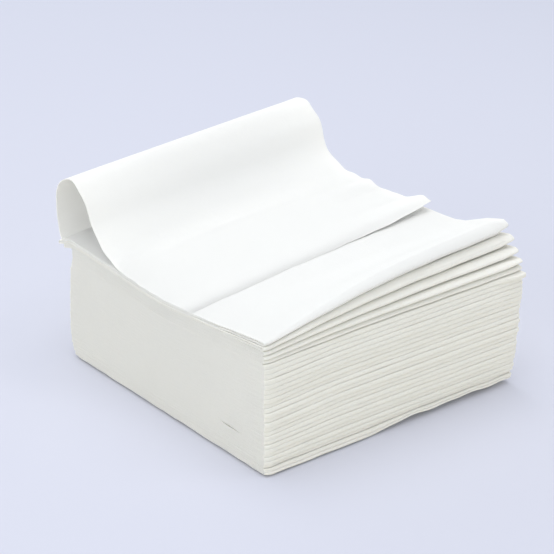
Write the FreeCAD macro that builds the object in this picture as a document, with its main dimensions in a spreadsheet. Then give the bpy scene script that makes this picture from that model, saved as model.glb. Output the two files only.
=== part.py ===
import FreeCAD, Part
import math
import os

import Sketcher
from FreeCAD import Placement, Rotation, Vector

# A stack of interfolded paper napkins, in millimetres.
# X runs along the folds, Y from the front fold face to the back one, Z up.
# Each napkin is one sheet folded once. Even napkins fold at the front and odd ones at the back,
# and each holds one panel of both its neighbours, as in a stack that feeds from a dispenser.
# The sheets are pressed together below. The top bands of folds fan open towards the far end,
# and the upper panel of the top napkin stands up behind the stack and curls over in an arch.

SIZES = [
    ("napkins", 60, "napkins in the stack, an even number"),
    ("fold_length", 105, "length of every fold, the X size of a napkin"),
    ("sheet_width", 210, "width of a napkin laid open"),
    ("paper", 0.16, "thickness of the two plies together"),
    ("tuck", 2.2, "how far a free edge stops short of the fold that holds it"),
    ("middle_x", -12, "where the droop of the near end has ended"),
    ("pitch_near", 0.386, "one pressed panel to the next at the near end"),
    ("pitch_far", 0.42, "one pressed panel to the next at the far end"),
    ("front_splay", 3.3, "how far the front folds step out at the far end"),
    ("back_splay", 3.7, "how far the back folds step out at the near end"),
    ("ragged", 0.25, "how unevenly the folds end"),
    ("loose_bands", 4, "bands of four panels that lie loose on the pressed ones and fan open"),
    ("loose_near", 0.278, "one loose panel to the next at the near end"),
    ("loose_middle", 0.463, "one loose panel to the next at the middle"),
    ("loose_far", 0.52, "one loose panel to the next at the far end"),
    ("fan_near", 0.035, "opening of the fan at the near end"),
    ("fan_middle", 0.24, "opening of the fan at the middle"),
    ("fan_far", 0.3, "opening of the fan at the far end"),
    ("curl_middle", 0.5, "how far each fanned fold steps back at the middle"),
    ("curl_far", 2.3, "how far each fanned fold steps back at the far end"),
    ("puff_middle", 0.08, "extra fold radius for each fanned band at the middle"),
    ("puff_far", 0.2, "extra fold radius for each fanned band at the far end"),
    ("fold_room", 7.2, "how far behind the tip of the top fold the fan has finished rising"),
    ("ramp_run", 16, "distance over which the fanned panels rise"),
    ("dip_near", 4, "how far the top of the stack sags at its centre at the near end"),
    ("dip_middle", 1.4, "how far the top panel sags at the middle"),
    ("dip_far", 1, "how far the top of the stack sags at the far end"),
    ("dip_radius", 20, "radius at the bottom of that sag in the loose sheets"),
    ("arch_rise", 22.7, "height of the arch over the top panel"),
    ("arch_radius", 9.7, "radius of the crest of the arch"),
    ("ridge_near", 52.4, "distance of the crest behind the centre at the near end"),
    ("ridge_middle", 53.6, "distance of the crest behind the centre at the middle"),
    ("ridge_far", 55.5, "distance of the crest behind the centre at the far end"),
    ("wall_near", 59.8, "distance of the foot of the wall behind the centre at the near end"),
    ("wall_middle", 60.2, "distance of the foot of the wall behind the centre at the middle"),
    ("wall_far", 61.2, "distance of the foot of the wall behind the centre at the far end"),
    ("wall_bend", 1.2, "radius where the lower panel turns up into the wall"),
    ("flank_radius", 18, "radius where the arch runs out on the stack"),
    ("slope_near", 8.1, "straight slope between the crest and that run-out at the near end"),
    ("slope_far", 11.5, "straight slope between the crest and that run-out at the far end"),
    ("flap_edge", 16, "distance of the free edge of the flap in front of the centre"),
    ("flap_lift_near", 0.3, "height of the free edge of the flap at the near end"),
    ("flap_lift_middle", 0.6, "height of the free edge of the flap at the middle"),
    ("flap_lift_far", 2.8, "height of the free edge of the flap at the far end"),
    ("wall_gap", 0.48, "space between the wall and the napkin in front of it"),
    ("rest_press", 0.03, "how far the lowest panel is pressed flat by what it rests on"),
]

PANELS_IN_BAND = 4
HALF_DEPTH = "(Sizes.sheet_width / 2 + Sizes.tuck) / 2"
LEAN_OF_FRONT = 0.85
BEND_SHARE = 0.85
UNEVEN_STEPS = (2.4, 0.7)


def make_sheet(doc):
    """Put the driving sizes in the document and return them by name."""
    sheet = doc.addObject("Spreadsheet::Sheet", "Sizes")
    for row, (name, number, note) in enumerate(SIZES, 1):
        sheet.set("A%d" % row, name)
        sheet.set("B%d" % row, str(number))
        sheet.set("C%d" % row, note)
        sheet.setAlias("B%d" % row, name)
    doc.recompute()
    return {name: float(sheet.get(name)) for name, _, _ in SIZES}


def upper_panel(napkin):
    """Place of a napkin's upper panel, counted down from the top of the stack."""
    return 0 if napkin == 1 else 2 * napkin - 3


def lower_panel(napkin, napkins):
    """Place of a napkin's lower panel, counted down from the top of the stack."""
    return 2 * napkins - 1 if napkin == napkins else 2 * napkin


def front_share(height):
    """Share of the splay of the front folds at a height, from 0 below to 1 above."""
    return 1 - LEAN_OF_FRONT * (1 - height) ** 3


def back_share(height):
    """Share of the splay of the back folds at a height, from 0 below to 1 above."""
    return math.sin(math.pi * math.sqrt(height))


def unevenness(napkin):
    """A number from -1 to 1 that differs from napkin to napkin."""
    return math.sin(UNEVEN_STEPS[0] * napkin) * math.cos(UNEVEN_STEPS[1] * napkin)


class Stack:
    """What follows from the driving sizes: stations along X, panel heights and fold places."""

    def __init__(self, size):
        self.size = size
        self.napkins = int(size["napkins"])
        self.last_panel = 2 * self.napkins - 1
        self.loose_bands = int(size["loose_bands"])
        self.loose_panels = PANELS_IN_BAND * self.loose_bands
        self.loose_napkins = 2 * self.loose_bands + 1
        self.half_depth = (size["sheet_width"] / 2 + size["tuck"]) / 2
        self.near_x = -size["fold_length"] / 2
        self.far_x = size["fold_length"] / 2

    def share(self, station):
        """Place of a station along X, from 0 at the near end to 1 at the far end."""
        middle = (self.size["middle_x"] - self.near_x) / (self.far_x - self.near_x)
        return {"near": 0, "middle": middle, "far": 1}[station]

    def station_x(self, station):
        return self.near_x + self.share(station) * (self.far_x - self.near_x)

    def between(self, station, near, far):
        return near + self.share(station) * (far - near)

    def at(self, name, station):
        """A size that has its own value at each station, 0 where it has none."""
        return self.size.get(name + "_" + station, 0)

    def pressed_height(self, panel, station):
        """Height of the middle of a pressed panel."""
        pitch = self.between(station, self.size["pitch_near"], self.size["pitch_far"])
        return self.size["paper"] / 2 + (self.last_panel - panel) * pitch

    def flat_height(self, panel, station):
        """Height of the middle of a panel where it lies flat."""
        if panel > self.loose_panels:
            return self.pressed_height(panel, station)
        base = self.pressed_height(self.loose_panels + 0.5, station)
        return base + (self.loose_panels + 0.5 - panel) * self.at("loose", station)

    def fanned(self, panel):
        """Place of a panel's band in the fan, 1 for its lowest band and 0 below the fan."""
        if panel > self.loose_panels:
            return 0
        return self.loose_bands - (panel - 1) // PANELS_IN_BAND

    def dip(self, panel, station):
        """Sag of the top of the stack that a panel follows: the pressed ones go straight along X."""
        straight = self.between(station, self.size["dip_near"], self.size["dip_far"])
        loose = max(0, 1 - panel / self.loose_panels)
        return straight + loose * (self.at("dip", station) - straight)

    def drop(self, panel, station, y):
        """How far a panel sags at y: most at the centre line, and less the lower it lies."""
        height = (self.last_panel - panel) / self.last_panel
        return self.dip(panel, station) * height * (1 - abs(y) / self.half_depth)

    def slope(self, panel, station):
        """Cosine of the angle at which a panel slopes down to the centre line."""
        fall = self.drop(panel, station, 0)
        return self.half_depth / math.hypot(self.half_depth, fall)

    def valley(self, panel, station, height):
        """The bend at the bottom of a panel's sag, as a pulley that turns to the right."""
        radius = self.size["dip_radius"]
        low = height - self.drop(panel, station, 0)
        return (0, low + radius / self.slope(panel, station), -radius)

    def lift(self, panel, station):
        """How far the fan lifts the front of a panel."""
        return self.at("fan", station) * self.fanned(panel) ** 2

    def front_tip(self, panel, station):
        """Distance of the front fold that holds a panel from the centre."""
        out = self.share(station) * self.size["front_splay"]
        back = self.at("curl", station) * max(0, self.fanned(panel) - 1)
        return self.half_depth + out - back

    def ramp(self, station):
        """Where the fanned panels start and finish rising."""
        end = self.size["fold_room"] - self.front_tip(1, station)
        return end + self.size["ramp_run"], end

    def rise(self, panel, station):
        """The bends by which a panel sags and rises to the front, as pulleys, back one first."""
        flat = self.flat_height(panel, station)
        bends = [self.valley(panel, station, flat)]
        lift = self.lift(panel, station)
        if lift == 0:
            return bends
        start, end = self.ramp(station)
        low = flat - self.drop(panel, station, start)
        high = flat - self.drop(panel, station, end) + lift
        height = high - low
        radius = BEND_SHARE * ((start - end) ** 2 + height ** 2) / (4 * height)
        clear = radius / self.slope(panel, station)
        return bends + [(start, low + clear, -radius), (end, high - clear, radius)]

    def fall(self, panel, station):
        """The same bends followed from the front to the back, so that they turn the other way."""
        return [(y, z, -radius) for y, z, radius in reversed(self.rise(panel, station))]


def belt(pulleys, offset):
    """Points of a line drawn round pulleys (y, z, radius) and moved to its left by an offset.

    A pulley with a positive radius turns the line to the left. Each stretch is given as its
    first and last point, and each turn as the point half way round it.
    """
    wheels = [(y, z, radius - offset) for y, z, radius in pulleys]
    angles = []
    for (y0, z0, r0), (y1, z1, r1) in zip(wheels, wheels[1:]):
        along = math.atan2(z1 - z0, y1 - y0)
        angles.append(along - math.asin((r1 - r0) / math.hypot(y1 - y0, z1 - z0)))

    def touch(wheel, angle):
        y, z, radius = wheel
        return y + radius * math.sin(angle), z - radius * math.cos(angle)

    stretches = [
        (touch(wheels[i], angle), touch(wheels[i + 1], angle)) for i, angle in enumerate(angles)
    ]
    turns = []
    for i in range(1, len(angles)):
        turn = (angles[i] - angles[i - 1]) % (2 * math.pi)
        if pulleys[i][2] < 0:
            turn -= 2 * math.pi
        turns.append(touch(wheels[i], angles[i - 1] + turn / 2))
    return stretches, turns


def strip_wire(x, pulleys, paper):
    """Outline of a sheet of paper that runs round pulleys, in the plane across the folds at x."""

    def point(pair):
        return Vector(x, pair[0], pair[1])

    edges = []
    for offset in (paper / 2, -paper / 2):
        stretches, turns = belt(pulleys, offset)
        run = []
        for i, (start, end) in enumerate(stretches):
            run.append((point(start), None, point(end)))
            if i < len(turns):
                run.append((point(end), point(turns[i]), point(stretches[i + 1][0])))
        if offset < 0:
            run = [(end, middle, start) for start, middle, end in reversed(run)]
        if edges:
            edges.append((edges[-1][2], None, run[0][0]))
        edges += run
    edges.append((edges[-1][2], None, edges[0][0]))
    shapes = [
        Part.LineSegment(start, end).toShape() if middle is None else Part.Arc(start, middle, end).toShape()
        for start, middle, end in edges
    ]
    return Part.Wire(shapes)


def front_fold_pulleys(stack, napkin, station):
    """A loose even napkin: back upper edge, front fold, back lower edge."""
    size = stack.size
    upper = upper_panel(napkin)
    lower = lower_panel(napkin, stack.napkins)
    high = stack.flat_height(upper, station)
    low = stack.flat_height(lower, station)
    radius = (high - low) / 2 + stack.at("puff", station) * stack.fanned(upper)
    fold_y = -(stack.front_tip(upper, station) - radius - size["paper"] / 2)
    sag = (stack.drop(upper, station, fold_y) + stack.drop(lower, station, fold_y)) / 2
    fold_z = (high + low) / 2 + stack.lift(upper, station) - sag
    upper_edge = lower_edge = stack.half_depth - size["tuck"]
    if napkin == 2:
        reach = stack.at("wall", station) - size["wall_gap"] - upper_edge
        upper_edge += reach
        lower_edge -= reach
    pulleys = [(upper_edge, high - stack.drop(upper, station, upper_edge), 0)]
    pulleys += stack.rise(upper, station)
    pulleys.append((fold_y, fold_z, radius))
    pulleys += stack.fall(lower, station)
    pulleys.append((lower_edge, low - stack.drop(lower, station, lower_edge), 0))
    return pulleys


def back_fold_pulleys(stack, napkin, station):
    """A loose odd napkin: front lower edge, back fold, front upper edge."""
    size = stack.size
    upper = upper_panel(napkin)
    lower = lower_panel(napkin, stack.napkins)
    high = stack.flat_height(upper, station)
    low = stack.flat_height(lower, station)
    radius = (high - low) / 2
    fold_y = stack.half_depth - radius - size["paper"] / 2
    sag = (stack.drop(upper, station, fold_y) + stack.drop(lower, station, fold_y)) / 2

    def free_edge(panel, height):
        y = -(stack.front_tip(panel, station) - size["tuck"])
        return (y, height - stack.drop(panel, station, y) + stack.lift(panel, station), 0)

    pulleys = [free_edge(lower, low)]
    pulleys += stack.fall(lower, station)
    pulleys.append((fold_y, (high + low) / 2 - sag, radius))
    pulleys += stack.rise(upper, station)
    pulleys.append(free_edge(upper, high))
    return pulleys


def arch_pulleys(stack, station):
    """The top napkin: lower panel, wall behind the stack, arch, and flap lying on the stack."""
    size = stack.size
    low = stack.flat_height(2, station)
    top = stack.flat_height(1, station)
    flap = top + stack.at("loose", station)
    wall = stack.at("wall", station)
    ridge = stack.at("ridge", station)
    crest = top + size["arch_rise"] - size["arch_radius"]
    slope = stack.between(station, size["slope_near"], size["slope_far"])
    apart = math.hypot(size["arch_radius"] + size["flank_radius"], slope)
    level = flap + size["flank_radius"] / stack.slope(1, station)
    flank = ridge - math.sqrt(apart ** 2 - (crest - level) ** 2)
    level -= stack.drop(1, station, flank)
    flank = ridge - math.sqrt(apart ** 2 - (crest - level) ** 2)
    start = stack.ramp(station)[0]
    valley_y, valley_z, valley_radius = stack.valley(2, station, low)
    bend = size["wall_bend"]
    foot = low - stack.drop(2, station, wall) + bend
    edge = flap - stack.drop(1, station, size["flap_edge"]) + stack.at("flap_lift", station)
    return [
        (start, low - stack.drop(2, station, start), 0),
        (valley_y, valley_z, -valley_radius),
        (wall, foot, bend),
        (ridge, crest, size["arch_radius"]),
        (flank, level, -size["flank_radius"]),
        stack.valley(1, station, flap),
        (-size["flap_edge"], edge, 0),
    ]


def loose_napkin(doc, stack, napkin):
    """One of the napkins of the arch and the fan, ruled through three stations along X."""
    wires = []
    for station in ("near", "middle", "far"):
        if napkin == 1:
            pulleys = arch_pulleys(stack, station)
        elif napkin % 2 == 0:
            pulleys = front_fold_pulleys(stack, napkin, station)
        else:
            pulleys = back_fold_pulleys(stack, napkin, station)
        wires.append(strip_wire(stack.station_x(station), pulleys, stack.size["paper"]))
    feature = doc.addObject("Part::Feature", "napkin_%02d" % napkin)
    feature.Label = "napkin_%02d" % napkin
    feature.Shape = Part.makeLoft(wires, True, True)
    feature.Placement = Placement(Vector(0, 0, 0), Rotation())
    return feature


def pressed_section(body, stack, napkin, station):
    """Sketch of a pressed napkin's section: two sagging panels, and a fold creased inside."""
    size = stack.size
    side = 1 if napkin % 2 else -1
    pitch_name = "Sizes.pitch_" + station
    pitch = size["pitch_" + station]
    dip_name = "Sizes.dip_" + station
    dip = size["dip_" + station]
    paper = size["paper"]
    above = stack.last_panel - upper_panel(napkin)
    below = stack.last_panel - lower_panel(napkin, stack.napkins)
    middle_share = (above + below) / (2 * stack.last_panel)
    front = front_share(middle_share) if station == "far" else 0
    back = back_share(middle_share) if station == "near" else 0
    front_text = "%s + Sizes.front_splay * %.4f" % (HALF_DEPTH, front)
    back_text = "%s + Sizes.back_splay * %.4f" % (HALF_DEPTH, back)
    front_tip = stack.half_depth + size["front_splay"] * front
    back_tip = stack.half_depth + size["back_splay"] * back
    fold_text, edge_text = (back_text, front_text) if side > 0 else (front_text, back_text)
    fold_tip, edge_tip = (back_tip, front_tip) if side > 0 else (front_tip, back_tip)
    uneven = unevenness(napkin)
    press = 0 if below else size["rest_press"]
    deep = ((above - below) * pitch + paper + press) / 2
    fold_y = side * (fold_tip + size["ragged"] * uneven - deep)
    edge_y = -side * (edge_tip - size["tuck"])

    def sag_share(level, y):
        return level / stack.last_panel * (1 - abs(y) / stack.half_depth)

    def height(level, y, extra):
        """Height at y of a panel's underside, plus an extra, over what the stack rests on."""
        return level * pitch - dip * sag_share(level, y) + extra

    def height_text(level, y, extra):
        return "%d * %s - %s * %.6f%s" % (level, pitch_name, dip_name, sag_share(level, y), extra)

    def face(level, extra):
        """The points of a panel's face at its free edge, at the centre and at the fold."""
        return [(y, height(level, y, extra)) for y in (edge_y, 0, fold_y)]

    top = face(above, paper)
    roof = face(above, 0)
    floor = face(below, paper)
    base = face(below, -press)
    radius = (top[2][1] - base[2][1]) / 2
    centre = (fold_y, (top[2][1] + base[2][1]) / 2)
    crease = (fold_y + side * (radius - paper), centre[1])

    sketch = body.newObject("Sketcher::SketchObject", body.Name + "_" + station)
    plane = [item for item in body.Origin.OriginFeatures if item.Role == "YZ_Plane"][0]
    sketch.AttachmentSupport = [(plane, "")]
    sketch.MapMode = "FlatFace"
    end = 0.5 if station == "far" else -0.5
    sketch.setExpression("AttachmentOffset.Base.z", "%g * Sizes.fold_length" % end)

    def line(start, end):
        segment = Part.LineSegment(Vector(start[0], start[1], 0), Vector(end[0], end[1], 0))
        return sketch.addGeometry(segment, False)

    circle = Part.Circle(Vector(centre[0], centre[1], 0), Vector(0, 0, 1), radius)
    start = -math.pi / 2 if side > 0 else math.pi / 2
    fold = sketch.addGeometry(Part.ArcOfCircle(circle, start, start + math.pi), False)
    base_by_fold = line(base[2], base[1])
    base_by_edge = line(base[1], base[0])
    lower_cap = line(base[0], floor[0])
    floor_by_edge = line(floor[0], floor[1])
    floor_by_fold = line(floor[1], floor[2])
    crease_low = line(floor[2], crease)
    crease_high = line(crease, roof[2])
    roof_by_fold = line(roof[2], roof[1])
    roof_by_edge = line(roof[1], roof[0])
    upper_cap = line(roof[0], top[0])
    top_by_edge = line(top[0], top[1])
    top_by_fold = line(top[1], top[2])

    rule = Sketcher.Constraint
    fold_high, fold_low = (2, 1) if side > 0 else (1, 2)
    chain = [
        base_by_fold, base_by_edge, lower_cap, floor_by_edge, floor_by_fold, crease_low,
        crease_high, roof_by_fold, roof_by_edge, upper_cap, top_by_edge, top_by_fold,
    ]
    sketch.addConstraint([
        rule("Coincident", one, 2, other, 1) for one, other in zip(chain, chain[1:])
    ])
    sketch.addConstraint([
        rule("Coincident", top_by_fold, 2, fold, fold_high),
        rule("Coincident", fold, fold_low, base_by_fold, 1),
        rule("Vertical", fold, 3, fold, fold_high),
        rule("Vertical", fold, 3, fold, fold_low),
        rule("Vertical", lower_cap),
        rule("Vertical", upper_cap),
        rule("Vertical", lower_cap, 1, upper_cap, 2),
        rule("Vertical", floor_by_fold, 2, fold, 3),
        rule("Vertical", roof_by_fold, 1, fold, 3),
        rule("Horizontal", crease_low, 2, fold, 3),
        rule("PointOnObject", top_by_edge, 2, -2),
        rule("PointOnObject", base_by_fold, 2, -2),
        rule("PointOnObject", floor_by_edge, 2, -2),
        rule("PointOnObject", roof_by_fold, 2, -2),
    ])

    def bind(constraint, text):
        sketch.setExpression("Constraints[%d]" % sketch.addConstraint(constraint), text)

    def across(geometry, place, y, text):
        """Fix a point's distance from the centre on whichever side it lies."""
        if y > 0:
            bind(rule("DistanceX", -1, 1, geometry, place, y), text)
        else:
            bind(rule("DistanceX", geometry, place, -1, 1, -y), text)

    def up(geometry, place, level, y, extra, text):
        """Fix a point's height."""
        value = height(level, y, extra)
        if value > 0:
            bind(rule("DistanceY", -1, 1, geometry, place, value), height_text(level, y, text))
        elif value < 0:
            bind(rule("DistanceY", geometry, place, -1, 1, -value), "Sizes.rest_press")
        else:
            sketch.addConstraint(rule("PointOnObject", geometry, place, -1))

    up(top_by_edge, 1, above, edge_y, paper, " + Sizes.paper")
    up(top_by_edge, 2, above, 0, paper, " + Sizes.paper")
    up(top_by_fold, 2, above, fold_y, paper, " + Sizes.paper")
    up(roof_by_fold, 1, above, fold_y, 0, "")
    up(roof_by_fold, 2, above, 0, 0, "")
    bind(rule("DistanceY", upper_cap, 1, upper_cap, 2, paper), "Sizes.paper")
    up(base_by_fold, 1, below, fold_y, -press, "")
    up(base_by_fold, 2, below, 0, -press, "")
    up(lower_cap, 1, below, edge_y, -press, "")
    up(floor_by_edge, 1, below, edge_y, paper, " + Sizes.paper")
    up(floor_by_edge, 2, below, 0, paper, " + Sizes.paper")
    up(floor_by_fold, 2, below, fold_y, paper, " + Sizes.paper")

    press_text = "" if below else " + Sizes.rest_press"
    deep_text = "(%d * %s + Sizes.paper%s) / 2" % (above - below, pitch_name, press_text)
    across(fold, 3, fold_y, "%s + Sizes.ragged * %.4f - %s" % (fold_text, uneven, deep_text))
    across(upper_cap, 2, edge_y, "%s - Sizes.tuck" % edge_text)
    top_text = height_text(above, fold_y, " + Sizes.paper")
    base_text = height_text(below, fold_y, "") if below else "-Sizes.rest_press"
    inside_text = "(%s - (%s)) / 2 - Sizes.paper" % (top_text, base_text)
    if side > 0:
        bind(rule("DistanceX", fold, 3, crease_low, 2, radius - paper), inside_text)
    else:
        bind(rule("DistanceX", crease_low, 2, fold, 3, radius - paper), inside_text)
    return sketch


def flat_rest(body, size):
    """Cut the underside of the lowest napkin flat where the stack rests."""
    sketch = body.newObject("Sketcher::SketchObject", body.Name + "_rest_outline")
    plane = [item for item in body.Origin.OriginFeatures if item.Role == "XY_Plane"][0]
    sketch.AttachmentSupport = [(plane, "")]
    sketch.MapMode = "FlatFace"
    width = size["fold_length"] + 2 * size["tuck"]
    depth = size["sheet_width"]
    corners = [
        Vector(x * width / 2, y * depth / 2, 0) for x, y in ((-1, -1), (1, -1), (1, 1), (-1, 1))
    ]
    for start, end in zip(corners, corners[1:] + corners[:1]):
        sketch.addGeometry(Part.LineSegment(start, end), False)
    rule = Sketcher.Constraint
    sketch.addConstraint([rule("Coincident", side, 2, (side + 1) % 4, 1) for side in range(4)])
    sketch.addConstraint([rule("Horizontal", 0), rule("Horizontal", 2)])
    sketch.addConstraint([rule("Vertical", 1), rule("Vertical", 3)])
    sketch.addConstraint(rule("Symmetric", 0, 1, 1, 2, -1, 1))
    wide = sketch.addConstraint(rule("DistanceX", 0, 1, 0, 2, width))
    sketch.setExpression("Constraints[%d]" % wide, "Sizes.fold_length + 2 * Sizes.tuck")
    deep = sketch.addConstraint(rule("DistanceY", 1, 1, 1, 2, depth))
    sketch.setExpression("Constraints[%d]" % deep, "Sizes.sheet_width")
    rest = body.newObject("PartDesign::Pocket", body.Name + "_rest")
    rest.Profile = sketch
    rest.Type = "ThroughAll"
    rest.Refine = False
    return rest


def pressed_napkin(doc, stack, napkin):
    """One of the pressed napkins: a body ruled from its near section to its far one."""
    body = doc.addObject("PartDesign::Body", "napkin_%02d" % napkin)
    body.Label = "napkin_%02d" % napkin
    near = pressed_section(body, stack, napkin, "near")
    far = pressed_section(body, stack, napkin, "far")
    loft = body.newObject("PartDesign::AdditiveLoft", body.Name + "_sheet")
    loft.Profile = near
    loft.Sections = [far]
    loft.Ruled = True
    loft.Refine = False
    body.Tip = loft
    if napkin == stack.napkins:
        body.Tip = flat_rest(body, stack.size)
    return body


def check(doc, napkins):
    """Stop with a plain message if anything failed to build."""
    for item in doc.Objects:
        if "Invalid" in item.State or "Error" in item.State:
            raise RuntimeError("%s failed: %s" % (item.Label, item.State))
    for napkin in napkins:
        shape = napkin.Shape
        if shape.isNull() or not shape.isValid() or len(shape.Solids) != 1 or shape.Volume <= 0:
            raise RuntimeError("%s is not one sound solid" % napkin.Label)


def main():
    os.makedirs("parts", exist_ok=True)
    doc = FreeCAD.newDocument("napkin_stack")
    stack = Stack(make_sheet(doc))
    napkins = []
    for napkin in range(1, stack.napkins + 1):
        if napkin <= stack.loose_napkins:
            napkins.append(loose_napkin(doc, stack, napkin))
        else:
            napkins.append(pressed_napkin(doc, stack, napkin))
    doc.recompute()
    check(doc, napkins)
    for napkin in napkins:
        napkin.Shape.exportStep("parts/%s.step" % napkin.Label)


main()
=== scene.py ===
"""The looks of a stack of interfolded paper napkins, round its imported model.

Every napkin is one closed sheet, a single ribbon across the folds that is carried along them.
X runs along the folds, Y from the front fold face to the back one, Z up. The properties, the
meshes, the flat size and the stage are in metres, and the other sizes in millimetres.
"""

import math

import bpy
import numpy as np
from bpy.props import FloatProperty, FloatVectorProperty, PointerProperty
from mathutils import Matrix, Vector


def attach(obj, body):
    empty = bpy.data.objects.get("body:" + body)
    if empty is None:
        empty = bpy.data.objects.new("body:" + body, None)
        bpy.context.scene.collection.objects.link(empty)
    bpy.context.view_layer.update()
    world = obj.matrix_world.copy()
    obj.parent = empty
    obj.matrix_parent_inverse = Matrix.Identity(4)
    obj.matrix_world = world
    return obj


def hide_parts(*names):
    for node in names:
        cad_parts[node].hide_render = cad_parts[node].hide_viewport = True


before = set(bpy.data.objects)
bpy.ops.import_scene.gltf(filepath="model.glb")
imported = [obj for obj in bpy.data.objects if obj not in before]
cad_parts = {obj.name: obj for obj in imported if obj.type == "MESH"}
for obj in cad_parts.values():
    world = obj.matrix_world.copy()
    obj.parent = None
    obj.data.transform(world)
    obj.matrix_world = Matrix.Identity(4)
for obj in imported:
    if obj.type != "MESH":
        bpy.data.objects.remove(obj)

bl_info = {
    "name": "Napkin stack",
    "version": (1, 0, 0),
    "blender": (4, 5, 0),
    "location": "3D View > Sidebar > Napkins",
    "description": "Makes the sheets of a stack of interfolded paper napkins",
    "category": "Mesh",
}

MM = 0.001

# A napkin has two panels. Panels are numbered from the top, and so are the folds, which hold a
# band of four panels each.
NAPKINS = len(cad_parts)
LAST_PANEL = 2 * NAPKINS - 1
BAND = 4
FRONT_FOLDS = NAPKINS // 2
LOOSE_BANDS = 5
LOOSE_PANELS = BAND * LOOSE_BANDS
# Napkins at the top that light comes through.
SINGLE_NAPKINS = 2

HALF_LENGTH = 52.5
HALF_DEPTH = 53.6
STACK_HEIGHT = 44.0
BASE = 0.19

# Sizes that change along the folds have three values, for these places.
STATIONS = (-52.5, -12.0, 52.5)

# Where the fanned sheets start to rise, and are fully up, from the middle to the front.
RAMP = (26.5, 43.0)
# How far the sheets' free edges stay inside the folds that hold them.
EDGE_ROOM = 0.5
# Where a panel's line has its points, away from the folds.
INNER_Y = np.arange(-40, 41, 5.0)

# How deep and how blunt a fold is where it is pressed or loose, and how much of both it loses at
# the ends, where it is squashed.
TIGHT_DEPTH, LOOSE_DEPTH, END_DEPTH = 0.75, 1.9, 0.35
TIGHT_BLUNT, LOOSE_BLUNT, END_BLUNT = 0.8, 1.3, 0.3

# How far the folds go back at the rounded corners, front and back, and over what length.
FRONT_CORNER, BACK_CORNER, CORNER_ROOM = 0.8, 0.6, 3.0
# How much of their height the fanned folds lose where they are pinched at the far end.
PINCH = 0.45
# The first pressed band sticks out at the far end.
PROUD = 1.6
# How far the two top back folds are pulled out behind the stack at the near end.
PULLED_OUT = (8.9, 5.2)

# Front folds that stand back from the face, or are thinner, by number from the top. They leave
# the darker lines that run along it.
STEP_BACK = {4: 0.4, 5: 0.2, 8: -0.2, 9: -0.2, 12: 0.25, 13: 0.8, 14: 0.2, 17: -0.2, 19: 0.35,
             21: 0.2, 22: -0.2, 24: 0.4, 27: 1.0, 28: 0.2}
THINNER = {4: 0.05, 5: 0.1, 12: 0.06, 13: 0.12, 19: 0.1, 21: 0.06, 24: 0.08, 26: 0.06, 27: 0.28}

# The slit between two sheets in the near end: its panel, middle, half width, opening, and how
# far above and below the sheets give way for it.
SLIT_PANEL, SLIT_Y, SLIT_HALF_WIDTH, SLIT_OPENING, SLIT_REACH = 90, -37.0, 3.4, 0.55, 1.2

# How the stack settles at its near end: slope of the back edges, and sink of the front corner.
BACK_DROOP, BACK_DROOP_FROM = 0.33, 54
CORNER_DROOP = 1.3
# How high the lowest sheets curl off the table at the front, the ends and the back, and up to
# what height the sheets over them give way.
FOOT_FRONT, FOOT_ENDS, FOOT_BACK, FOOT_HEIGHT = 1.8, 0.8, 0.5, 9

# The arch of the top napkin across the folds at its near and far ends, from the foot of its wall
# over the crest to the run-out, as (y, height).
ARCH_NEAR = (
    (60.3, 43.6), (61.4, 47.4), (62.0, 51.0), (62.05, 54.6), (61.9, 57.6), (61.2, 60.4),
    (59.4, 63.2), (55.8, 65.4), (51.9, 66.2), (48.7, 65.2), (46.0, 62.9), (43.5, 60.0),
    (41.6, 56.9), (40.0, 53.7), (38.2, 51.2), (36.0, 48.9), (33.2, 46.4), (30.4, 44.6),
    (27.2, 43.2), (24.0, 42.5),
)
ARCH_FAR = (
    (61.6, 50.6), (62.9, 54.4), (64.0, 58.4), (64.8, 62.4), (65.1, 66.0), (64.7, 69.4),
    (62.9, 72.4), (60.4, 73.9), (57.3, 74.3), (53.6, 73.3), (50.4, 71.2), (47.6, 68.4),
    (45.9, 65.2), (44.4, 61.6), (42.4, 58.6), (40.0, 56.4), (37.2, 54.8), (34.0, 53.7),
    (30.4, 53.1), (26.5, 52.7),
)
# How far the flap stands off the sheet below it at its far end, as (y, height), apart from the
# curl of its free edge.
FLAP_RIPPLES = (
    (-20.0, 0.3), (-6.0, 0.5), (-0.6, 0.9), (3.4, 1.45), (7.3, 0.8), (12.7, 0.35), (14.8, 0.8),
    (19.1, 1.75), (22.4, 1.35), (26.7, 1.85), (32.0, 2.2),
)
FLAP_CURL, FLAP_CURL_END = 3.4, 0.6
# Thickness of the flap's free edge against the rest of it, and the width over which it thins out.
FLAP_THIN, FLAP_THIN_WIDTH = 0.22, 7
FLAP_STEPS = 44
# Points of the flap from which the line of the arch takes its start.
FLAP_JOIN = 4
# How far the foot of the arch's wall stands inside it.
WALL_INSET = 0.7
# How softly the arch runs out on the sheet below, how near to it that starts, and up to which y.
RUN_OUT_SOFTNESS, RUN_OUT_NEAR, RUN_OUT_Y = 1.8, 8, 52

# How far light of each colour gets inside the tissue, against the glow that is set.
GLOW_BY_COLOUR = (1.0, 0.98, 0.94)
GRAIN_DEPTH = 0.08

FLOOR_HALF = 4.0
# Place, side and colour of each lamp, all of them aimed at the middle of the floor.
LAMPS = {
    "top": ((-0.05, 0.1, 1.1), 1.0, (1, 0.98, 0.93)),
    "right": ((0.8, -0.8, 1.3), 0.6, (1.0, 0.95, 0.88)),
    "left": ((-1.1, -0.35, 0.35), 0.8, (0.96, 0.98, 1.0)),
    "back": ((0.3, 1.2, 0.5), 0.8, (0.94, 0.97, 1.0)),
}
LENS = 103.97
VIEW_AZIMUTH, VIEW_ELEVATION = math.radians(-38.45), math.radians(22.76)
VIEW_DISTANCE = 0.5754
VIEW_TARGET = (0.01823, 0.03015, 0.020)


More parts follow.
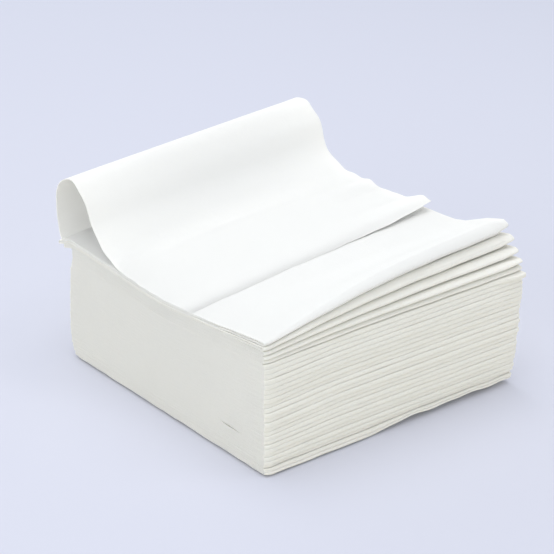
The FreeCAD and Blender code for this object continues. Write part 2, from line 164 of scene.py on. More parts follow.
def smooth(low, high, value):
    """0 below low, 1 above high, and a smooth step between them."""
    share = np.clip((np.asarray(value, float) - low) / (high - low), 0, 1)
    return share * share * (3 - 2 * share)


def along(values, x):
    """A value at x between the ones at STATIONS, on a smooth curve through all three."""
    t = (np.asarray(x, float) - STATIONS[0]) / (STATIONS[2] - STATIONS[0])
    m = (STATIONS[1] - STATIONS[0]) / (STATIONS[2] - STATIONS[0])
    first = (values[1] - values[0]) / m
    last = (values[2] - values[1]) / (1 - m)
    bend = (first + last) / 2
    a = t / m
    near = values[0] + (values[1] - values[0]) * a + m * (first - bend) * a * a * (1 - a)
    b = (t - m) / (1 - m)
    far = values[1] + (values[2] - values[1]) * b + (1 - m) * (bend - last) * b * (1 - b) ** 2
    return np.where(t < m, near, far)


def waves(seed, x, lengths=(19.0, 31.0, 57.0)):
    """A seeded wavy line along x, mostly between -1 and 1."""
    random = np.random.default_rng(seed)
    total = 0
    for length in lengths:
        total = total + random.uniform(0.4, 1) * np.sin(
            2 * math.pi * (np.asarray(x, float) / length + random.uniform(0, 1)))
    return total / len(lengths)


def scatter(kind, number):
    """A seeded value between -1 and 1 for each number, of one kind or another."""
    return float(np.random.default_rng((kind, number)).uniform(-1, 1))


def by_the_end(x):
    """1 at either end of the folds and 0 away from both, rounded like a corner."""
    near = np.clip((np.abs(x) - HALF_LENGTH + CORNER_ROOM) / CORNER_ROOM, 0, 1)
    return 1 - np.sqrt(1 - near * near)


def share_along(x):
    """0 at the near end of the folds and 1 at the far end."""
    return (np.asarray(x, float) + HALF_LENGTH) / (2 * HALF_LENGTH)


def upper_panel(napkin):
    """Number of a napkin's upper panel, which lies on the lower one of the napkin above it."""
    return 0 if napkin == 1 else 2 * napkin - 3


def lower_panel(napkin):
    """Number of a napkin's lower panel, which lies under the upper one of the next napkin."""
    return LAST_PANEL if napkin == NAPKINS else 2 * napkin


def front_band(panel):
    """Number, from the top, of the front fold that holds this panel."""
    return min((panel - 1) // BAND, FRONT_FOLDS - 1)


def front_panels(band):
    """First and last panel that a front fold holds."""
    return BAND * band + 1, min(BAND * band + BAND, LAST_PANEL)


def back_band(panel):
    """Number, from the top, of the back fold that holds this panel."""
    return max((panel - 3) // BAND, 0)


def back_panels(band):
    """First and last panel that a back fold holds."""
    return BAND * band + 3, min(BAND * band + BAND + 2, LAST_PANEL)


def fanned(panel):
    """How many gaps of the fan are below a panel."""
    return LOOSE_BANDS - 1 - front_band(panel) if panel <= LOOSE_PANELS else 0


def fold_level(panel, panels, middle, radius):
    """Height of a panel where it lies in the fold that holds these panels, first to last."""
    first, last = panels
    return middle + radius * (first + last - 2 * panel) / max(1, last - first)


def spline(points, count):
    """A smooth line through control points, evenly spaced along its length."""
    points = np.asarray(points, float)
    steps = np.r_[0, np.cumsum(np.sqrt(np.hypot(*np.diff(points, axis=0).T)))]
    slopes = np.gradient(points, steps, axis=0)
    fine = np.linspace(0, steps[-1], 900)
    i = np.clip(np.searchsorted(steps, fine, side="right") - 1, 0, len(points) - 2)
    h = (steps[i + 1] - steps[i])[:, None]
    t = ((fine - steps[i])[:, None]) / h
    line = ((1 + 2 * t) * (1 - t) ** 2 * points[i] + t * (1 - t) ** 2 * h * slopes[i]
            + t * t * (3 - 2 * t) * points[i + 1] + t * t * (t - 1) * h * slopes[i + 1])
    length = np.r_[0, np.cumsum(np.hypot(*np.diff(line, axis=0).T))]
    even = np.linspace(0, length[-1], count)
    return np.column_stack([np.interp(even, length, line[:, k]) for k in (0, 1)])


def stations(count):
    """Distances along the folds, closer together towards the two ends."""
    even = np.linspace(-1, 1, count)
    return HALF_LENGTH * (0.7 * even + 0.3 * np.sin(even * math.pi / 2))


class Stack:
    """Where each sheet of the stack lies, from the sizes that a user can change."""

    def __init__(self, sizes):
        for name in sizes.__annotations__:
            setattr(self, name, np.round(np.array(getattr(sizes, name)) / MM, 5))

    def pitch(self, x):
        """Height that one pressed panel takes."""
        return self.near_pitch + (self.far_pitch - self.near_pitch) * share_along(x)

    def flat_height(self, panel, x):
        """Height of the middle of a panel where it lies flat, before the stack sags."""
        if panel > LOOSE_PANELS:
            return BASE + (LAST_PANEL - panel) * self.pitch(x)
        base = BASE + (LAST_PANEL - LOOSE_PANELS - 0.5) * self.pitch(x)
        return base + (LOOSE_PANELS + 0.5 - panel) * along(self.loose_pitch, x)

    def thickness(self, panel, x):
        """The tissue is lofty: where the stack is pressed it fills nearly all the room it has."""
        if panel > LOOSE_PANELS:
            return 0.96 * self.pitch(x)
        return np.minimum(0.93 * along(self.loose_pitch, x), 0.34)

    def lift(self, panel, x):
        """How far a panel of the fan rises at the front."""
        return along(self.fan, x) * fanned(panel) ** 2

    def front_fold(self, band, x):
        """Tip, middle height and radius of a front fold."""
        first, last = front_panels(band)
        high = self.flat_height(first, x) + self.lift(first, x)
        low = self.flat_height(last, x) + self.lift(last, x)
        middle = (high + low) / 2
        half = (high - low) / 2
        uneven = waves(100 + band, x)
        far = share_along(x)
        inset = FRONT_CORNER * by_the_end(x) * (1 - 0.5 * far)
        inset = inset + STEP_BACK.get(band, 0) * (0.8 + 0.4 * waves(600 + band, x))
        if band < LOOSE_BANDS:
            k = LOOSE_BANDS - 1 - band
            pinch = smooth(45, HALF_LENGTH, x) * min(k, 1)
            radius = (half + along(self.puff, x) * k) * (1 - PINCH * pinch)
            middle = middle + 0.5 * radius * pinch
            tip = HALF_DEPTH + self.front_splay * far - along(self.curl, x) * max(0, k - 1)
            return tip + 0.25 * uneven - inset, middle, radius
        depth = (BAND * band + 2.5) / LAST_PANEL
        tip = HALF_DEPTH + self.front_splay * (1 - 0.8 * depth ** 3) * far
        tip = tip + 0.16 * scatter(1, band) + 0.2 * uneven - inset
        if band == LOOSE_BANDS:
            tip = tip + PROUD * smooth(38, HALF_LENGTH, x)
        radius = half * (1.06 - THINNER.get(band, 0) + 0.04 * scatter(2, band)
                         + 0.05 * waves(200 + band, x, (23.0, 47.0)))
        middle = middle + 0.07 * scatter(3, band) + 0.05 * waves(300 + band, x, (29.0, 61.0))
        return tip, middle, radius

    def back_fold(self, band, x):
        """Tip, middle height and radius of a back fold."""
        first, last = back_panels(band)
        high, low = self.flat_height(first, x), self.flat_height(last, x)
        height = max(0.0, 1 - (BAND * band + 4.5) / LAST_PANEL)
        splay = self.back_splay * math.sin(math.pi * math.sqrt(height)) * smooth(3.5, 7, band)
        tip = HALF_DEPTH + splay * (1 - share_along(x)) + 0.16 * scatter(4, band)
        tip = tip + 0.2 * waves(400 + band, x) - BACK_CORNER * by_the_end(x)
        if band < len(PULLED_OUT):
            tip = tip + PULLED_OUT[band] * smooth(26, HALF_LENGTH, -x)
        radius = (high - low) / 2 * (1.04 + 0.05 * waves(500 + band, x, (23.0, 47.0)))
        return tip, (high + low) / 2, radius

    def panel_height(self, panel, x, y):
        """Height of the middle of a panel at x and y, before the stack sags."""
        x = np.asarray(x, float)
        y = np.asarray(y, float)
        flat = self.flat_height(panel, x)
        raised = self.lift(panel, x)
        height = flat + raised * smooth(*RAMP, -y)
        if 1 <= panel:
            band = front_band(panel)
            tip, middle, radius = self.front_fold(band, x)
            target = fold_level(panel, front_panels(band), middle, radius)
            height = height + (target - flat - raised) * smooth(-9, -1.2, -y - tip)
        if 3 <= panel:
            band = back_band(panel)
            tip, middle, radius = self.back_fold(band, x)
            target = fold_level(panel, back_panels(band), middle, radius)
            height = height + (target - flat) * smooth(-8, -1.2, y - tip)
        return height

    def settle(self, x, y, z):
        """How far a point of the stack moves up or down as the stack sags and settles."""
        x, y, z = (np.asarray(item, float) for item in (x, y, z))
        near = smooth(20, HALF_LENGTH, -x)
        height = np.clip(z / STACK_HEIGHT, 0, 1.15)
        across = 1 - np.sqrt(np.square(y) + 12.0) / HALF_DEPTH
        move = -along(self.dip, x) * height * np.minimum(across, 1)
        move = move - BACK_DROOP * height * near * np.clip(y - BACK_DROOP_FROM, 0, None)
        bulge = np.sin(math.pi * np.clip(z / STACK_HEIGHT, 0, 1)) * smooth(15, 50, -y)
        move = move - CORNER_DROOP * near * bulge
        front = FOOT_FRONT * smooth(42, 52, -y) * (0.3 + 0.7 * smooth(-12, 8, x))
        ends = FOOT_ENDS * smooth(47.5, HALF_LENGTH, np.abs(x))
        foot = np.maximum(np.maximum(front, ends), FOOT_BACK * smooth(46, 54, y))
        wavy = 1 + 0.2 * waves(21, x, (13.0, 27.0)) + 0.3 * waves(22, y, (11.0, 23.0))
        move = move + foot * wavy * np.clip(1 - z / FOOT_HEIGHT, 0, 1) ** 2
        slit_z = BASE + (LAST_PANEL - SLIT_PANEL - 0.5) * self.pitch(x)
        open_by = np.clip(1 - ((y - SLIT_Y) / SLIT_HALF_WIDTH) ** 2, 0, 1)
        slit = SLIT_OPENING * smooth(36, 47, -x) * open_by
        return move + slit * np.sign(z - slit_z) * np.exp(-np.abs(z - slit_z) / SLIT_REACH)

    def settled_height(self, panel, x, y):
        """Height of the middle of a panel at x and y, after the stack has sagged."""
        height = self.panel_height(panel, x, y)
        return height + self.settle(x, y, height)

    def ribbon(self, napkin, x, steps, turns):
        """Middle line of a folded napkin at one x, as rows of (y, z), from its upper free edge."""
        upper, lower = upper_panel(napkin), lower_panel(napkin)
        if napkin % 2 == 0:
            side, own, other = -1, self.front_fold, self.back_fold
            own_band, other_band = front_band, back_band
        else:
            side, own, other = 1, self.back_fold, self.front_fold
            own_band, other_band = back_band, front_band
        tip, middle, radius = own(own_band(upper), x)
        tight = own_band(upper) >= LOOSE_BANDS or side > 0
        squash = float(smooth(46.5, 51.5, abs(x))) if tight or x < 0 else 0.0
        depth = radius * ((TIGHT_DEPTH if tight else LOOSE_DEPTH) - END_DEPTH * squash)
        blunt = (TIGHT_BLUNT if tight else LOOSE_BLUNT) - END_BLUNT * squash
        centre = side * (tip - depth - self.thickness(upper, x) / 2)
        edges = [other(other_band(panel), x)[0] - EDGE_ROOM for panel in (upper, lower)]
        if napkin == 2:
            edges[0] = self.back_reach + 0.3 * waves(11, x)
        stops = np.linspace(0, 1, steps)

        def run(panel, edge):
            first = np.linspace(-side * edge, side * INNER_Y[0], steps, endpoint=False)
            last = side * INNER_Y[-1] + (centre - side * INNER_Y[-1]) * stops
            ys = np.concatenate([first, side * INNER_Y[:-1], last])
            return np.column_stack([ys, self.panel_height(panel, np.full(len(ys), x), ys)])

        top = run(upper, edges[0])
        bottom = run(lower, edges[1])[::-1]
        top[-1, 1] = middle + radius
        bottom[0, 1] = middle - radius
        angles = np.linspace(0, math.pi, turns + 2)[1:-1]
        fold = np.column_stack([
            centre + side * depth * np.sin(angles) ** blunt,
            middle + radius * np.sign(np.cos(angles)) * np.abs(np.cos(angles)) ** blunt])
        return np.concatenate([top, fold, bottom])

    def flap_end(self, x):
        """How far the flap's free edge lies in front of the middle."""
        return along(self.flap_edge, x) + 0.35 * waves(7, x, (13.0, 29.0))

    def flap_thickness(self, x, y):
        """The flap thins out towards its free edge, where the plies part."""
        inside = smooth(0, FLAP_THIN_WIDTH, y + self.flap_end(x))
        return self.thickness(1, x) * (FLAP_THIN + (1 - FLAP_THIN) * inside)

    def flap_gap(self, x, y):
        """Height of the flap's middle over that of the panel below it."""
        far = float(np.clip((x + 20) / (HALF_LENGTH + 20), 0, 1))
        touching = (self.flap_thickness(x, y) + self.thickness(1, x)) / 2 + 0.01
        ripples = spline(FLAP_RIPPLES, 200)
        ripple = np.interp(y, ripples[:, 0], ripples[:, 1])
        curl = FLAP_CURL * smooth(-1, 9.5, -y) - FLAP_CURL_END * smooth(9.5, 14, -y)
        return touching + far ** 3.5 * ripple + far ** 3 * curl

    def arch_ribbon(self, x, count):
        """Middle line of the top napkin at one x, from the flap's free edge to the lower panel's."""
        share = float(share_along(x))
        arch = (1 - share) * np.array(ARCH_NEAR) + share * np.array(ARCH_FAR)
        end = float(arch[-1, 0])
        ys = np.linspace(-float(self.flap_end(x)), end - 3.0, FLAP_STEPS)
        below = self.settled_height(1, np.full(len(ys), x), ys)
        flap = np.column_stack([ys, below + self.flap_gap(x, ys)])
        foot_y = arch[0, 0] - WALL_INSET
        foot = float(self.settled_height(2, x, foot_y))
        # The wall starts close over its foot, and the run-out close over the flap.
        arch[0, 1] = max(arch[0, 1] - 1.2 * (1 - share), foot + 0.8)
        arch[-1, 1] = flap[-1, 1] + 0.25
        line = spline(np.concatenate([flap[-FLAP_JOIN:], arch[::-1], [(foot_y, foot)]]), count)
        under = self.settled_height(1, np.full(count, x), line[:, 0])
        over = line[:, 1] - under - self.thickness(1, x) - 0.02
        soft = RUN_OUT_SOFTNESS * np.clip(over, -RUN_OUT_NEAR, RUN_OUT_NEAR)
        raise_by = np.log1p(np.exp(soft)) / RUN_OUT_SOFTNESS - over
        raise_by = np.where((over < RUN_OUT_NEAR) & (line[:, 0] < RUN_OUT_Y), raise_by, 0)
        line[:, 1] += raise_by * smooth(end - 5, end + 4, line[:, 0])
        low = np.concatenate([np.linspace(foot_y - 0.8, 42.0, 6), INNER_Y[:2:-1]])
        floor = np.column_stack([low, self.settled_height(2, np.full(len(low), x), low)])
        return np.concatenate([flap[:-FLAP_JOIN], line, floor])


def fray(points, napkin):
    """Make the ends of a sheet uneven, and ripple the far ends of the top ones."""
    x, y, z = points.T
    end = np.abs(x / HALF_LENGTH) ** 10 * np.sign(x)
    rough = 0.3 if napkin <= 3 else 0.05 + 0.1 * smooth(50, NAPKINS, napkin)
    loose = smooth(40, 47, z) * smooth(25, HALF_LENGTH, x)
    x -= end * (rough * (1 + waves(700 + napkin, y, (7.0, 13.0, 31.0)))
                + 0.5 * loose * (1 + waves(23, y, (9.0, 21.0))))
    z += 0.35 * loose * waves(24, y, (9.5, 14.0, 26.0))
    np.maximum(z, 0.02, out=z)


def strip_mesh(napkin, lines, xs, thickness, settle=None):
    """A closed mesh of a sheet whose middle lines at xs are given, with its thickness at each."""
    rows, count = len(xs), len(lines[0])
    middle = np.array(lines)
    tangent = np.gradient(middle, axis=1)
    tangent /= np.maximum(np.linalg.norm(tangent, axis=2, keepdims=True), 1e-9)
    normal = np.stack([-tangent[:, :, 1], tangent[:, :, 0]], axis=2)
    half = np.asarray(thickness, float).reshape(rows, -1)
    half = np.broadcast_to(half, (rows, count))[..., None] / 2
    ring = np.concatenate([middle + normal * half, (middle - normal * half)[:, ::-1]], axis=1)
    steps = np.linalg.norm(np.diff(middle, axis=1), axis=2)
    length = np.concatenate([np.zeros((rows, 1)), np.cumsum(steps, axis=1)], axis=1)
    points = np.concatenate(
        [np.repeat(np.asarray(xs, float), 2 * count)[:, None], ring.reshape(-1, 2)], axis=1)
    if settle:
        points[:, 2] += settle(*points.T)
    fray(points, napkin)
    size = 2 * count
    i, j = np.meshgrid(np.arange(rows - 1), np.arange(size), indexing="ij")
    a = i * size + j
    b = i * size + (j + 1) % size
    walls = np.stack([a, b, b + size, a + size], axis=-1).reshape(-1, 4)
    k = np.arange(count - 1)
    near = np.stack([k, size - 1 - k, size - 2 - k, k + 1], axis=-1)
    far = near[:, ::-1] + (rows - 1) * size
    faces = np.concatenate([walls, near, far])
    mesh = bpy.data.meshes.new("tissue_%02d" % napkin)
    mesh.vertices.add(len(points))
    mesh.vertices.foreach_set("co", (points * MM).astype(np.float32).ravel())
    mesh.loops.add(faces.size)
    mesh.loops.foreach_set("vertex_index", faces.ravel().astype(np.int32))
    mesh.polygons.add(len(faces))
    mesh.polygons.foreach_set("loop_start", np.arange(0, faces.size, 4, dtype=np.int32))
    mesh.polygons.foreach_set("use_smooth", np.ones(len(faces), bool))
    mesh.update(calc_edges=True)
    mesh.validate()
    mesh.set_sharp_from_angle(angle=math.radians(50))
    layer = mesh.uv_layers.new(name="sheet")
    around = np.concatenate([length, length[:, ::-1]], axis=1).reshape(-1)
    uv = np.column_stack([points[:, 0] + HALF_LENGTH, around])[faces.ravel()] * MM
    layer.data.foreach_set("uv", uv.astype(np.float32).ravel())
    return mesh


def finish_piece(context, mesh, napkin):
    """Put a sheet in the scene in place of its solid, with its finish, under the root body."""
    piece = bpy.data.objects.new("tissue_%02d" % napkin, mesh)
    context.scene.collection.objects.link(piece)
    finish = context.scene.napkin_tissue
    # The napkins below the top two get a darker, warmer copy of the same paper colour: painted shade
    # for the stack's side faces and folds.
    if napkin <= SINGLE_NAPKINS:
        look = ("single tissue", finish.single_colour, finish.single_glow, finish.single_share)
    else:
        look = ("stacked tissue", finish.stack_painted_shade_colour, finish.stack_glow, finish.stack_share)
    mesh.materials.append(tissue_material(finish, *look))
    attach(piece, "root")
    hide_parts("napkin_%02d" % napkin)
    return piece


def make_folded(context, napkins, steps, turns):
    """Make folded napkins, with some steps at either side of a panel and turns in a fold."""
    stack = Stack(context.scene.napkin_sizes)
    xs = stations(64)
    for napkin in napkins:
        lines = [stack.ribbon(napkin, x, steps, turns) for x in xs]
        thick = stack.thickness(upper_panel(napkin), xs)
        finish_piece(context, strip_mesh(napkin, lines, xs, thick, stack.settle), napkin)


def tissue_fibre_group():
    """Node group: the mottle, crepe and fibres of tissue paper."""
    name = "tissue fibre"
    if name in bpy.data.node_groups:
        return bpy.data.node_groups[name]
    group = bpy.data.node_groups.new(name, "ShaderNodeTree")
    face = group.interface
    face.new_socket("Light Colour", in_out="INPUT", socket_type="NodeSocketColor")
    face.new_socket("Deep Colour", in_out="INPUT", socket_type="NodeSocketColor")
    face.new_socket("Crepe Strength", in_out="INPUT", socket_type="NodeSocketFloat")
    face.new_socket("Colour", in_out="OUTPUT", socket_type="NodeSocketColor")
    face.new_socket("Height", in_out="OUTPUT", socket_type="NodeSocketFloat")
    nodes, links = group.nodes, group.links
    source = nodes.new("NodeGroupInput")
    result = nodes.new("NodeGroupOutput")
    place = nodes.new("ShaderNodeTexCoord")

    def noise(scale, detail, rough, stretch=(1, 1, 1)):
        mapping = nodes.new("ShaderNodeMapping")
        mapping.inputs["Scale"].default_value = stretch
        links.new(place.outputs["Object"], mapping.inputs["Vector"])
        node = nodes.new("ShaderNodeTexNoise")
        node.inputs["Scale"].default_value = scale
        node.inputs["Detail"].default_value = detail
        node.inputs["Roughness"].default_value = rough
        links.new(mapping.outputs["Vector"], node.inputs["Vector"])
        return node.outputs["Fac"]

    mottle = noise(45, 4, 0.6)
    fibre = noise(1900, 3, 0.65)
    crepe = noise(1400, 2, 0.5, (1, 0.16, 0.5))
    mix = nodes.new("ShaderNodeMix")
    mix.data_type = "RGBA"
    links.new(mottle, mix.inputs["Factor"])
    links.new(source.outputs["Light Colour"], mix.inputs["A"])
    links.new(source.outputs["Deep Colour"], mix.inputs["B"])
    links.new(mix.outputs["Result"], result.inputs["Colour"])
    times = nodes.new("ShaderNodeMath")
    times.operation = "MULTIPLY"
    links.new(crepe, times.inputs[0])
    links.new(source.outputs["Crepe Strength"], times.inputs[1])
    plus = nodes.new("ShaderNodeMath")
    plus.operation = "ADD"
    links.new(times.outputs["Value"], plus.inputs[0])
    links.new(fibre, plus.inputs[1])
    links.new(plus.outputs["Value"], result.inputs["Height"])
    return group


def tissue_material(finish, name, tint, glow, share):
    """Matt white creped tissue of one tint, in which a share of the light spreads some way."""
    if name in bpy.data.materials:
        return bpy.data.materials[name]
    material = bpy.data.materials.new(name)
    material.use_nodes = True
    nodes, links = material.node_tree.nodes, material.node_tree.links
    shader = nodes["Principled BSDF"]
    fibre = nodes.new("ShaderNodeGroup")
    fibre.node_tree = tissue_fibre_group()
    fibre.inputs["Light Colour"].default_value = (*tint, 1)
    fibre.inputs["Deep Colour"].default_value = (*(value * finish.mottle for value in tint), 1)
    fibre.inputs["Crepe Strength"].default_value = finish.crepe
    bump = nodes.new("ShaderNodeBump")
    bump.inputs["Strength"].default_value = finish.grain
    bump.inputs["Distance"].default_value = GRAIN_DEPTH * MM
    links.new(fibre.outputs["Colour"], shader.inputs["Base Color"])
    links.new(fibre.outputs["Height"], bump.inputs["Height"])
    links.new(bump.outputs["Normal"], shader.inputs["Normal"])
    shader.inputs["Roughness"].default_value = 0.95
    shader.inputs["Specular IOR Level"].default_value = 0.2
    shader.inputs["Subsurface Weight"].default_value = share
    shader.inputs["Subsurface Radius"].default_value = GLOW_BY_COLOUR
    shader.inputs["Subsurface Scale"].default_value = glow
    return material


def floor_material(look):
    """Plain paper whose seen colour isn't the one by which it lights the stack."""
    material = bpy.data.materials.new("floor paper")
    material.use_nodes = True
    nodes, links = material.node_tree.nodes, material.node_tree.links
    shader = nodes["Principled BSDF"]
    rays = nodes.new("ShaderNodeLightPath")
    shown = rays.outputs["Is Camera Ray"]
    for kind in ("Is Glossy Ray", "Is Transmission Ray"):
        either = nodes.new("ShaderNodeMath")
        either.operation = "MAXIMUM"
        links.new(shown, either.inputs[0])
        links.new(rays.outputs[kind], either.inputs[1])
        shown = either.outputs["Value"]
    mix = nodes.new("ShaderNodeMix")
    mix.data_type = "RGBA"
    mix.inputs["A"].default_value = (*look.bounce_colour, 1)
    mix.inputs["B"].default_value = (*look.floor_colour, 1)
    links.new(shown, mix.inputs["Factor"])
    links.new(mix.outputs["Result"], shader.inputs["Base Color"])
    shader.inputs["Roughness"].default_value = 1.0
    shader.inputs["Specular IOR Level"].default_value = 0.0
    return material


class NapkinSizes(bpy.types.PropertyGroup):
    """Sizes of the stack. Where there are three, they are for the three STATIONS."""

    near_pitch: FloatProperty(
        name="Near pitch", description="Height of a pressed panel at the near end",
        unit="LENGTH", min=0.0001, max=0.002, default=0.000386)
    far_pitch: FloatProperty(
        name="Far pitch", description="Height of a pressed panel at the far end",
        unit="LENGTH", min=0.0001, max=0.002, default=0.00042)
    loose_pitch: FloatVectorProperty(
        name="Loose pitch", description="Height of a loose panel where it lies flat",
        unit="LENGTH", min=0.0001, max=0.002, default=(0.0003, 0.00045, 0.0005))
    fan: FloatVectorProperty(
        name="Fan", description="How fast the fanned folds rise from one to the next",
        unit="LENGTH", min=0, max=0.002, default=(0.000035, 0.00024, 0.0003))
    curl: FloatVectorProperty(
        name="Curl", description="How far each fanned fold stands behind the one below it",
        unit="LENGTH", min=0, max=0.01, default=(0, 0.0005, 0.0023))
    puff: FloatVectorProperty(
        name="Puff", description="How much fuller each fanned fold is than the one below it",
        unit="LENGTH", min=0, max=0.002, default=(0, 0.00026, 0.000385))
    dip: FloatVectorProperty(
        name="Dip", description="How far the middle of the stack sags",
        unit="LENGTH", min=0, max=0.01, default=(0.004, 0.0015, 0.001))
    flap_edge: FloatVectorProperty(
        name="Flap edge", description="How far the flap's free edge lies in front of the middle",
        unit="LENGTH", min=0, max=0.04, default=(0.0162, 0.0176, 0.0132))
    front_splay: FloatProperty(
        name="Front splay", description="How far the front face stands out at the far end",
        unit="LENGTH", min=0, max=0.01, default=0.0033)
    back_splay: FloatProperty(
        name="Back splay", description="How far the back face bulges at the near end",
        unit="LENGTH", min=0, max=0.01, default=0.0037)
    back_reach: FloatProperty(
        name="Back reach", description="How far the second napkin reaches under the arch",
        unit="LENGTH", min=0.05, max=0.061, default=0.0592)


class NapkinTissue(bpy.types.PropertyGroup):
    """Colours and grain of the tissue. The stack's colour is a darker, warmer copy of the top
    napkins' one: painted shade.
    """

    single_colour: FloatVectorProperty(
        name="Single colour", description="Colour of the two top napkins, which lie alone",
        subtype="COLOR", min=0, max=1, default=(0.985, 0.98, 0.96))
    single_glow: FloatProperty(
        name="Single glow", description="How far light spreads inside the two top napkins",
        unit="LENGTH", min=0, max=0.02, default=0.0015)
    single_share: FloatProperty(
        name="Single share", description="Share of the light that spreads inside them",
        subtype="FACTOR", min=0, max=1, default=0.5)
    # A darker, warmer copy of the single colour: painted shade for the side faces and folds of the
    # stack.
    stack_painted_shade_colour: FloatVectorProperty(
        name="Stack colour", description="Colour of the napkins below them",
        subtype="COLOR", min=0, max=1, default=(0.918, 0.90, 0.85))
    stack_glow: FloatProperty(
        name="Stack glow", description="How far light spreads inside the napkins below",
        unit="LENGTH", min=0, max=0.02, default=0.0004)
    stack_share: FloatProperty(
        name="Stack share", description="Share of the light that spreads inside the napkins below",
        subtype="FACTOR", min=0, max=1, default=1.0)
    mottle: FloatProperty(
        name="Mottle", description="Brightness of the deeper patches against the light ones",
        subtype="FACTOR", min=0, max=1, default=0.975)
    crepe: FloatProperty(
        name="Crepe", description="How strongly the crepe lines show against the fibres",
        min=0, max=4, default=1.2)
    grain: FloatProperty(
        name="Grain", description="How strongly the fibres and crepe stand out",
        subtype="FACTOR", min=0, max=1, default=0.35)


class NapkinStage(bpy.types.PropertyGroup):
    """Colours and light of the stage."""

    floor_colour: FloatVectorProperty(
        name="Floor colour", description="Colour of the floor as it is seen",
        subtype="COLOR", min=0, max=1, default=(0.675, 0.69, 0.80))
    bounce_colour: FloatVectorProperty(
        name="Bounce colour", description="Colour of the light that the floor sends on",
        subtype="COLOR", min=0, max=1, default=(0.80, 0.775, 0.71))
    sky_colour: FloatVectorProperty(
        name="Sky colour", description="Colour of the even light all round",
        subtype="COLOR", min=0, max=1, default=(0.92, 0.96, 1.0))
    sky_strength: FloatProperty(
        name="Sky", description="Strength of the even light all round",
        min=0, max=4, default=0.70)
    top_power: FloatProperty(
        name="Top light", description="Power of the soft light overhead",
        unit="POWER", min=0, max=200, default=5)
    right_power: FloatProperty(
        name="Right light", description="Power of the soft light at the right",
        unit="POWER", min=0, max=200, default=2.0)
    left_power: FloatProperty(
        name="Left light", description="Power of the soft light at the left",
        unit="POWER", min=0, max=200, default=3.0)
    back_power: FloatProperty(
        name="Back light", description="Power of the soft light behind the arch",
        unit="POWER", min=0, max=200, default=1.6)


class NAPKINS_OT_top(bpy.types.Operator):
    """Make the top napkin, whose upper half stands up in an arch and curls over"""

    bl_idname = "napkins.top"
    bl_label = "Top napkin"

    def execute(self, context):
        stack = Stack(context.scene.napkin_sizes)
        xs = stations(84)
        flap = slice(0, FLAP_STEPS - FLAP_JOIN)
        lines = [stack.arch_ribbon(x, 110) for x in xs]
        thick = [np.full(len(line), stack.thickness(1, x)) for x, line in zip(xs, lines)]
        for x, line, row in zip(xs, lines, thick):
            row[flap] = stack.flap_thickness(x, line[flap, 0])
        finish_piece(context, strip_mesh(1, lines, xs, thick), 1)
        return {"FINISHED"}


class NAPKINS_OT_fan(bpy.types.Operator):
    """Make the loose napkins of the fan, under the top one"""

    bl_idname = "napkins.fan"
    bl_label = "Fanned napkins"

    def execute(self, context):
        make_folded(context, range(2, 2 * LOOSE_BANDS + 2), 14, 15)
        return {"FINISHED"}


class NAPKINS_OT_pressed(bpy.types.Operator):
    """Make the napkins that lie pressed together below the fan"""

    bl_idname = "napkins.pressed"
    bl_label = "Pressed napkins"

    def execute(self, context):
        make_folded(context, range(2 * LOOSE_BANDS + 2, NAPKINS + 1), 5, 9)
        return {"FINISHED"}


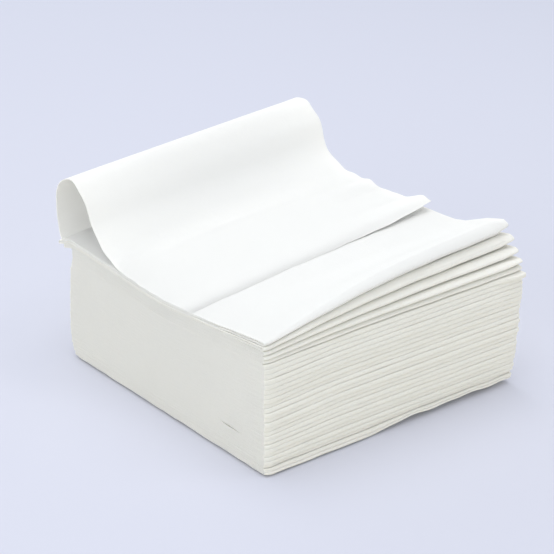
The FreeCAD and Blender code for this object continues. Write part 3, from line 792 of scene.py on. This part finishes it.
class NAPKINS_OT_stage(bpy.types.Operator):
    """Make the pale floor, the soft light and the camera"""

    bl_idname = "napkins.stage"
    bl_label = "Stage"

    def execute(self, context):
        scene = context.scene
        look = scene.napkin_stage
        mesh = bpy.data.meshes.new("floor")
        corners = [(-1, -1), (1, -1), (1, 1), (-1, 1)]
        mesh.from_pydata(
            [(FLOOR_HALF * x, FLOOR_HALF * y, 0) for x, y in corners], [], [(0, 1, 2, 3)])
        mesh.materials.append(floor_material(look))
        floor = bpy.data.objects.new("floor", mesh)
        scene.collection.objects.link(floor)

        world = bpy.data.worlds.new("studio")
        scene.world = world
        world.use_nodes = True
        sky = world.node_tree.nodes["Background"]
        sky.inputs["Color"].default_value = (*look.sky_colour, 1)
        sky.inputs["Strength"].default_value = look.sky_strength

        for name, (place, side, colour) in LAMPS.items():
            data = bpy.data.lights.new(name + "_light", "AREA")
            data.energy = getattr(look, name + "_power")
            data.shape = "SQUARE"
            data.size = side
            data.color = colour
            lamp = bpy.data.objects.new(name + "_light", data)
            lamp.location = place
            lamp.rotation_euler = (-Vector(place)).to_track_quat("-Z", "Y").to_euler()
            scene.collection.objects.link(lamp)

        data = bpy.data.cameras.new("camera")
        data.lens = LENS
        data.clip_start = 0.01
        data.clip_end = 20
        camera = bpy.data.objects.new("camera", data)
        scene.collection.objects.link(camera)
        back = Vector((math.sin(VIEW_AZIMUTH) * math.cos(VIEW_ELEVATION),
                       -math.cos(VIEW_AZIMUTH) * math.cos(VIEW_ELEVATION),
                       math.sin(VIEW_ELEVATION)))
        camera.location = Vector(VIEW_TARGET) + back * VIEW_DISTANCE
        camera.rotation_euler = back.to_track_quat("Z", "Y").to_euler()
        scene.camera = camera
        scene.view_settings.view_transform = "Standard"
        return {"FINISHED"}


class NAPKINS_PT_panel(bpy.types.Panel):
    """The stack's sizes, finish and steps"""

    bl_idname = "NAPKINS_PT_panel"
    bl_label = "Napkin stack"
    bl_space_type = "VIEW_3D"
    bl_region_type = "UI"
    bl_category = "Napkins"

    def draw(self, context):
        scene = context.scene
        for group in (scene.napkin_sizes, scene.napkin_tissue, scene.napkin_stage):
            for name in group.__annotations__:
                self.layout.prop(group, name)
        for name in ("top", "fan", "pressed", "stage"):
            self.layout.operator("napkins." + name)


CLASSES = (
    NapkinSizes, NapkinTissue, NapkinStage, NAPKINS_OT_top, NAPKINS_OT_fan, NAPKINS_OT_pressed,
    NAPKINS_OT_stage, NAPKINS_PT_panel,
)


def register():
    for item in CLASSES:
        bpy.utils.register_class(item)
    bpy.types.Scene.napkin_sizes = PointerProperty(type=NapkinSizes)
    bpy.types.Scene.napkin_tissue = PointerProperty(type=NapkinTissue)
    bpy.types.Scene.napkin_stage = PointerProperty(type=NapkinStage)


def unregister():
    del bpy.types.Scene.napkin_stage
    del bpy.types.Scene.napkin_tissue
    del bpy.types.Scene.napkin_sizes
    for item in reversed(CLASSES):
        bpy.utils.unregister_class(item)


def main():
    register()
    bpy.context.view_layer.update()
    bpy.ops.napkins.top()
    bpy.ops.napkins.fan()
    bpy.ops.napkins.pressed()
    bpy.ops.napkins.stage()


if __name__ == "__main__":
    main()
